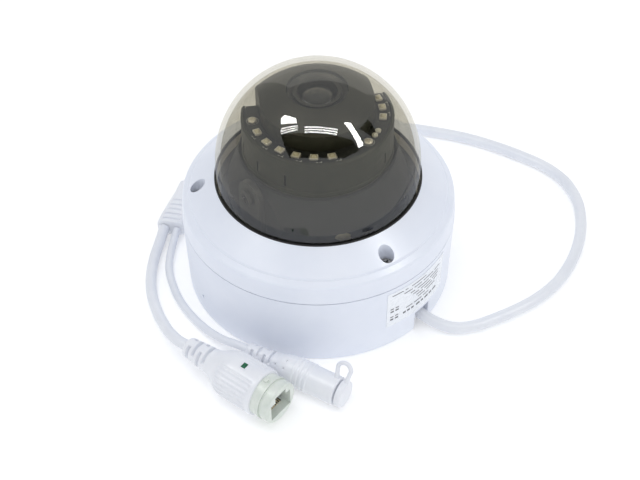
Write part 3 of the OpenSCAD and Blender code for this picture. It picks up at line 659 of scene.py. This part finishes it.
dc_stations = [0.1, 0.25, 0.4, 0.55, *spread(0.7, 20.6, 0.13), *spread(20.6, 23, 0.4),
               *spread(23, 32.2, 0.12), *spread(32.2, 42.8, 0.8), 42.8, 42.9, 43.0, 43.1, 43.18,
               43.25, 43.3]
dc_mesh = turned("dc_shell", dc, dc_stations, dc_radius, 120)
dc_shell = add("dc_shell", dc_mesh, "pvc", "housing", ["dc_body"], sharp=60)


# ---------------------------------------------------------------- sealing cap and its strap
CAP_OUTSIDE = [(1.35, 34.0), (2.55, 34.0), (2.75, 34.3), (2.75, 44.0), (5.35, 44.0), (5.7, 44.3),
               (5.75, 46.2), (5.3, 46.9), (0.3, 47.05)]
CAP_INSIDE = [(0.02, 47.05), (0.02, 43.9), (1.3, 43.9)]
cap_mesh = revolved("cap_shell", [*softened(CAP_OUTSIDE, 0.3, 5), *CAP_INSIDE], 96, dc)
add("cap_shell", cap_mesh, "cap", "dc_plug_cap", ["dc_cap"])

STRAP_AZIMUTH = math.radians(158)
STRAP_FOOT = [(5.9, 41.3), (7.2, 41.25), (8.8, 41.0)]
STRAP_END = [(8.8, 46.35), (7.2, 46.1), (5.5, 45.9)]
STRAP_R, STRAP_SWELL = 0.92, 0.3  # the strap is thicker at its two ends


def tether_mesh():
    """The cap's soft loop: out of the body's end, round and back into the cap."""
    bend = [math.radians(-90 + 180 * k / 12) for k in range(1, 12)]
    bow = [(10.3 + 3.2 * math.cos(a), 43.75 + 3.0 * math.sin(a)) for a in bend]
    aside, along_x = math.sin(STRAP_AZIMUTH), math.cos(STRAP_AZIMUTH)
    points = [dc(r * along_x, r * aside, z) for r, z in [*STRAP_FOOT, *bow, *STRAP_END]]

    def radius(share):
        return (STRAP_R + STRAP_SWELL * (1 - ease(0, 0.1, min(share, 1 - share)))) * MM

    return tube("cap_strap", smooth_route(points, 4), radius, 20)


strap = add("cap_strap", tether_mesh(), "cap", None)
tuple(dc(0, 0, 42.2))
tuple(dc(0, 0, 45.3))
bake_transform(strap)
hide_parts("cap_tether")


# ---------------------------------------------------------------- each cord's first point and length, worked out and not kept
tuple(main_route[0])
route_length(main_route)
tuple(lan_route[0])
route_length(lan_route)
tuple(dc_route[0])
route_length(dc_route)


# ---------------------------------------------------------------- dome
DOME_OUTER, DOME_INNER, FLANGE_R = 42.5, 40.3, 45.2
GASKET_R = 42.56  # just outside the dome's wall


def dome_mesh():
    """Half a sphere outside and inside, on a short skirt with a flange."""
    quarter = [math.pi / 2 * k / 64 for k in range(65)]

    def arc(r, angles):
        return [(r * math.cos(a), PIVOT_Z + r * math.sin(a)) for a in angles]

    flange = [(DOME_INNER, 43.9), (FLANGE_R, 43.9), (FLANGE_R, 46.1), (DOME_OUTER + 0.3, 46.1)]
    outside = [(DOME_OUTER, z) for z in (46.4, 50, 55)]
    inside = [(DOME_INNER, z) for z in (55, 50, 46)]
    profile = [*flange, *outside, *arc(DOME_OUTER, quarter), *arc(DOME_INNER, quarter[::-1]), *inside]
    return revolved("dome_shell", profile, 192)


def band(name, profile, sides, mat, replaces=()):
    add(name, revolved(name, profile, sides), mat, "housing", replaces)


add("dome_shell", dome_mesh(), "dome", "housing", ["dome_bubble"], sharp=30)
band("gasket_bead", [(GASKET_R, 51.7), (GASKET_R, 53.0), (42.7, 53.1), (43.2, 53.1), (43.36, 52.9),
                     (43.36, 51.7)], 192, "rubber", ["dome_gasket"])
# A band just inside the cover's opening, behind the dome's skirt, that glows faintly: painted light for the
# cover wall, which the narrow gap keeps in shade.
band("painted_glow_band", [(42.6, 46.6), (42.6, 51.55), (43.3, 51.55), (43.3, 46.6)], 160,
     "painted_glow")
band("gasket_foot", [(GASKET_R, 46.2), (GASKET_R, 46.44), (45.1, 46.44), (45.1, 46.2)], 128,
     "rubber")


# ---------------------------------------------------------------- lamps
def box_into(bm, size, place, taper=0.0, bevel=0.0, index=0):
    """A bevelled box, its foot centred at the origin of place, in millimetres."""
    made = bmesh.ops.create_cube(bm, size=1)["verts"]
    for w in made:
        narrow = 1 - taper if w.co.z > 0 else 1
        w.co = Vector((w.co.x * size[0] * narrow, w.co.y * size[1] * narrow, (w.co.z + 0.5) * size[2]))
    faces = list({f for w in made for f in w.link_faces})
    if bevel:
        edges = list({e for f in faces for e in f.edges})
        cut = bmesh.ops.bevel(bm, geom=edges, offset=bevel, segments=2, profile=0.6, affect="EDGES")
        made = list({w for f in cut["faces"] for w in f.verts} | {w for w in made if w.is_valid})
        faces = list({f for w in made for f in w.link_faces})
    for w in made:
        w.co = place @ w.co * MM
    for f in faces:
        f.material_index = index


def dome_into(bm, radius, height, place, index=0):
    """A flattened ball, centred at the origin of place, in millimetres."""
    made = bmesh.ops.create_uvsphere(bm, u_segments=20, v_segments=10, radius=1)["verts"]
    for w in made:
        w.co = place @ Vector((w.co.x * radius, w.co.y * radius, w.co.z * height)) * MM
    for f in {f for w in made for f in w.link_faces}:
        f.material_index = index


def shifted(x, y, z):
    return Matrix.Translation((x, y, z))


def polar(r, azimuth, z, spin=0.0):
    """The frame of a spot at this radius, azimuth and height, +X outward before its spin."""
    return (Matrix.Rotation(math.radians(azimuth), 4, "Z") @ Matrix.Translation((r, 0, z))
            @ Matrix.Rotation(math.radians(spin), 4, "Z"))


CASE, RESIN, SOLDER = 0, 1, 2  # material indices of a lamp
bm = bmesh.new()
for az in LAMP_AZIMUTHS:
    foot = polar(LAMP_CIRCLE, az, BOARD_TOP)
    box_into(bm, (3.0, 3.3, 0.75), foot, 0.04, 0.16, CASE)
    box_into(bm, (2.3, 2.5, 0.12), foot @ shifted(0, 0, 0.72), 0.1, 0.04, RESIN)
    dome_into(bm, 1.12, 0.75, foot @ shifted(0, 0, 0.8), RESIN)
    for side in (-1, 1):
        box_into(bm, (2.0, 0.5, 0.2), foot @ shifted(0, side * 1.85, 0), 0, 0.05, SOLDER)
add("lamp_cases", from_bm(bm, "lamp_cases"), "lamp_case", "lens_head", ["ir_lamps"],
    extra=("lamp_resin", "steel"))

# Dashes of white print beside each lamp, and a ring of them round each board screw
PRINT_Z = BOARD_TOP + 0.01
PRINT_THICK = 0.03
BOARD_SCREW_AZIMUTHS = (-171.7, -41)
bm = bmesh.new()
for az in LAMP_AZIMUTHS:
    for shift, length in ((-0.9, 0.9), (0.5, 1.1)):
        dash = polar(29.0, az + 4.5, PRINT_Z) @ shifted(0, shift, 0)
        box_into(bm, (0.22, length, PRINT_THICK), dash)
    box_into(bm, (0.7, 0.2, PRINT_THICK), polar(28.6, az + 6.0, PRINT_Z))
for az in BOARD_SCREW_AZIMUTHS:
    for k in range(28):
        dash = polar(LAMP_CIRCLE, az, PRINT_Z) @ polar(2.35, 360 * k / 28, 0)
        box_into(bm, (0.16, 0.62, PRINT_THICK), dash)
add("silk_marks", from_bm(bm, "silk_marks"), "silk", "lens_head")


# ---------------------------------------------------------------- socket details
RJ_FRAME = connector_frame(*RJ_PLACE)
CONTACT_PITCH = 1.02
bm = bmesh.new()
for y in (-1.6, 1.6):
    box_into(bm, (0.5, 0.5, 3.0), RJ_FRAME @ shifted(-10.02, y, 29.2), 0, 0.1)
for z in (29.15, 31.75):
    box_into(bm, (0.5, 3.4, 0.5), RJ_FRAME @ shifted(-10.04, 0, z), 0, 0.1)
add("window_frame", from_bm(bm, "window_frame"), "pvc", "housing")

# Eight springs that lean back from the mouth, with nine dark walls between and beside them
bm = bmesh.new()
lean = Matrix.Rotation(math.radians(198), 4, "Y")
for i in range(8):
    tip = RJ_FRAME @ shifted(4.75, -3.57 + CONTACT_PITCH * i, 45.4)
    box_into(bm, (0.28, 0.36, 5.6), tip @ lean, 0, 0.1, 0)
for i in range(9):
    wall = RJ_FRAME @ shifted(4.6, -4.08 + CONTACT_PITCH * i, 39.6)
    box_into(bm, (0.7, 0.3, 5.6), wall, 0, 0.06, 1)
add("contact_springs", from_bm(bm, "contact_springs"), "gold", "housing", extra=("jack",))


# ---------------------------------------------------------------- screws in the cover's wells
HEAD_PROFILE = [(0.02, 0), (2.8, 0), (2.92, 0.2), (2.92, 3.0), (2.8, 3.5), (2.45, 3.85), (1.9, 4.0)]
HEAD_SEAT_Z, SHANK_Z = 38.65, 24.5
bm = bmesh.new()
for az in WELL_AZIMUTHS:
    seat = polar(WELL_CIRCLE, az, HEAD_SEAT_Z, 25)
    head = [[seat @ Vector((r * math.cos(t), r * math.sin(t), z)) * MM for t in turns(48)]
            for r, z in HEAD_PROFILE]
    bm.faces.new(rings_into(bm, head)[-1])
    for spin in (0, 90):
        slot = seat @ shifted(0, 0, 3.95) @ polar(0, spin, 0)
        box_into(bm, (3.3, 0.8, 0.12), slot, 0.05, 0.03, 1)
    box_into(bm, (3.4, 3.4, 12), polar(WELL_CIRCLE, az, SHANK_Z), 0.3, 0.4)
add("well_screws", from_bm(bm, "well_screws"), "steel", "housing", ["cover_screws"],
    extra=("lens",))


# ---------------------------------------------------------------- small marks on the ball
def on_ball(azimuth, elevation, spin=0.0):
    """The frame of a spot on the ball's skin, +Z outward, in millimetres."""
    return (shifted(0, 0, PIVOT_Z) @ Matrix.Rotation(math.radians(azimuth), 4, "Z")
            @ Matrix.Rotation(math.radians(90 - elevation), 4, "Y") @ shifted(0, 0, BALL_R)
            @ Matrix.Rotation(math.radians(spin), 4, "Z"))


GLUE_BLOBS = [(2.7, 0.45, -74.0, -15.4), (1.9, 0.38, -77.2, -14.2), (1.5, 0.34, -71.3, -18.4)]
bm = bmesh.new()
for radius, height, azimuth, elevation in GLUE_BLOBS:
    dome_into(bm, radius, height, on_ball(azimuth, elevation))
add("glue_spot", from_bm(bm, "glue_spot"), "blob", "tilt_ball")

bm = bmesh.new()
box_into(bm, (0.9, 4.4, 0.35), on_ball(-56.0, -18.6, -6), 0.1, 0.12)
box_into(bm, (0.5, 1.2, 0.4), on_ball(-53.2, -17.6, 20), 0.1, 0.1)
add("ball_clip", from_bm(bm, "ball_clip"), "lens", "tilt_ball")


# ---------------------------------------------------------------- label print
LABEL_THICK, INK_LIFT = 0.18, 0.03
BAR_STEP = 1.2  # degrees between a bar's points
# Each row of plain bars: its height on the wall, its bars' height, and each bar's azimuths
ROWS = [(30.0, 0.45, [(-59.5, -54), (-53, -51.5), (-49.5, -41)]),
        (28.0, 0.5, [(-53.5, -49), (-48, -43.5), (-42.5, -36), (-35, -31)]),
        (26.0, 0.5, [(-50, -47.5), (-46, -39), (-38, -32)]),
        (24.2, 0.5, [(-48.5, -45), (-44, -37.5), (-36.5, -31.5)]),
        (22.4, 0.5, [(-46.5, -42.5), (-41.5, -36), (-35, -32)]),
        (20.6, 0.5, [(-45.5, -41), (-40, -34)]),
        (18.4, 0.55, [(-52, -48.5), (-47.5, -43), (-42, -38.5)]),
        (15.8, 1.1, [(-53.5, -52), (-51.3, -49.8), (-49, -47.6), (-46.2, -44), (-43.2, -41.8),
                     (-40.8, -38.6), (-37.8, -36), (-35.2, -32.6)])]
BLOCK_WIDTH = 1.6


def label_bar(bm, az0, az1, z0, z1):
    """A thin raised strip on the label's conical face."""
    n = max(int(abs(az1 - az0) / BAR_STEP), 1)
    angles = [math.radians(az0 + (az1 - az0) * k / n) for k in range(n + 1)]
    rows = []
    for z in (z0, z1):
        r = WALL_FOOT_R + WALL_RISE * z / WALL_H + LABEL_THICK + INK_LIFT
        rows.append([bm.verts.new(v(r * math.cos(t), r * math.sin(t), z)) for t in angles])
    for k in range(n):
        bm.faces.new((rows[0][k], rows[0][k + 1], rows[1][k + 1], rows[1][k]))


bm = bmesh.new()
for z, height, spans in ROWS:
    for first, last in spans:
        label_bar(bm, first, last, z, z + height)
for z in (15.4, 20.2):
    for az in (-60, -57.6):
        label_bar(bm, az, az + BLOCK_WIDTH, z, z + 0.9)
        label_bar(bm, az, az + BLOCK_WIDTH, z + 1.7, z + 2.3)
add("label_print", to_mesh(bm, "label_print"), "ink", "housing")


# ---------------------------------------------------------------- floor, world and light
def flat(name, corners):
    """A single flat face; corners in metres."""
    mesh = bpy.data.meshes.new(name)
    mesh.from_pydata(corners, [], [list(range(len(corners)))])
    return link_object(name, mesh)


def card(name, corners, strength):
    """A flat studio card or softbox that only reflections see; corners in millimetres."""
    o = flat(name, [v(*c) for c in corners])
    m = bpy.data.materials.new(name)
    m.use_nodes = True
    m.node_tree.nodes.clear()
    out = m.node_tree.nodes.new("ShaderNodeOutputMaterial")
    glow = m.node_tree.nodes.new("ShaderNodeEmission")
    glow.inputs["Color"].default_value = (1, 1, 0.98, 1)
    glow.inputs["Strength"].default_value = strength
    m.node_tree.links.new(glow.outputs[0], out.inputs[0])
    o.data.materials.append(m)
    o.visible_camera = o.visible_diffuse = o.visible_shadow = o.visible_transmission = False


def lerp3(a, b, t):
    return tuple(x + (y - x) * t for x, y in zip(a, b))


TUBES, TUBE_STRENGTH = 3, 15  # bright bars in each of the ceiling fittings


def stripes(name, tl, tr, br, bl):
    """Parallel bright bars between the top and bottom edges."""
    for i in range(TUBES):
        a, b = (i + 0.1) / TUBES, (i + 0.6) / TUBES
        corners = [lerp3(tl, bl, a), lerp3(tr, br, a), lerp3(tr, br, b), lerp3(tl, bl, b)]
        card(f"{name}_{i}", corners, TUBE_STRENGTH)


card("window_box", [(-523, 63, 790), (-465, 93, 825), (-323, -26, 900),
                    (-321, -112, 893), (-535, -36, 782)], 20)
stripes("tubes_left", (-551, -101, 765), (-307, -144, 894), (-313, -243, 868), (-553, -211, 738))
stripes("tubes_mid", (-201, -192, 916), (52, -213, 933), (52, -332, 895), (-206, -312, 879))
stripes("tubes_right", (52, -213, 933), (316, -216, 875), (302, -334, 840), (52, -332, 895))
card("diagonal_box", [(397, -82, 864), (479, -49, 821), (679, -280, 580), (625, -360, 598)], 24)
card("back_wall", [(-327, 562, 683), (-154, 608, 706), (21, 638, 694), (235, 637, 652), (392, 599, 606),
                   (533, 553, 530), (640, 640, 60), (0, 900, 40), (-440, 780, 60)], 1.25)
card("dark_side", [(678, 141, 635), (781, 40, 506), (770, -87, 519), (611, -87, 716)], 0.0)
card("dark_front", [(-555, -206, 738), (-202, -300, 884), (305, -330, 840), (527, -309, 721),
                    (613, -381, 598), (639, -376, 571), (431, -581, 596), (-446, -569, 597),
                    (-488, -480, 645)], 0.0)

FLOOR_HALF, FLOOR_Z = 4, -0.0002
floor_corners = [(x * FLOOR_HALF, y * FLOOR_HALF, FLOOR_Z) for x, y in [(-1, -1), (1, -1), (1, 1), (-1, 1)]]
floor = flat("floor", floor_corners)
floor_paper = (
    Mat("floor_paper", (0.93, 0.93, 0.93), 0.75, Emission_Color=(1, 1, 1, 1), Emission_Strength=0.22)
    .colour((0.925, 0.927, 0.93), (0.94, 0.94, 0.94), 3)
    .roughness(0.7, 0.8, 20))
floor.data.materials.append(floor_paper.mat)

world = bpy.data.worlds.new("studio")
world.use_nodes = True
bpy.context.scene.world = world
background = world.node_tree.nodes["Background"]
background.inputs["Color"].default_value = (0.96, 0.975, 1.0, 1)
background.inputs["Strength"].default_value = 0.72


def area(name, at, power):
    """A round soft light aimed at the object, unseen by the camera and by reflections."""
    light = bpy.data.lights.new(name, "AREA")
    light.shape, light.size, light.energy, light.color = "DISK", 1.0, power, (1, 1, 1)
    o = link_object(name, light)
    o.location = at
    o.rotation_mode = "QUATERNION"
    o.rotation_quaternion = (Vector((0, 0, 0.03)) - Vector(at)).to_track_quat("-Z", "Y")
    o.visible_camera = o.visible_glossy = False


area("key", (-0.3, -0.1, 1.7), 5.2)
area("fill", (1.0, -0.7, 1.1), 2.0)
bpy.context.scene.view_settings.view_transform = "Standard"
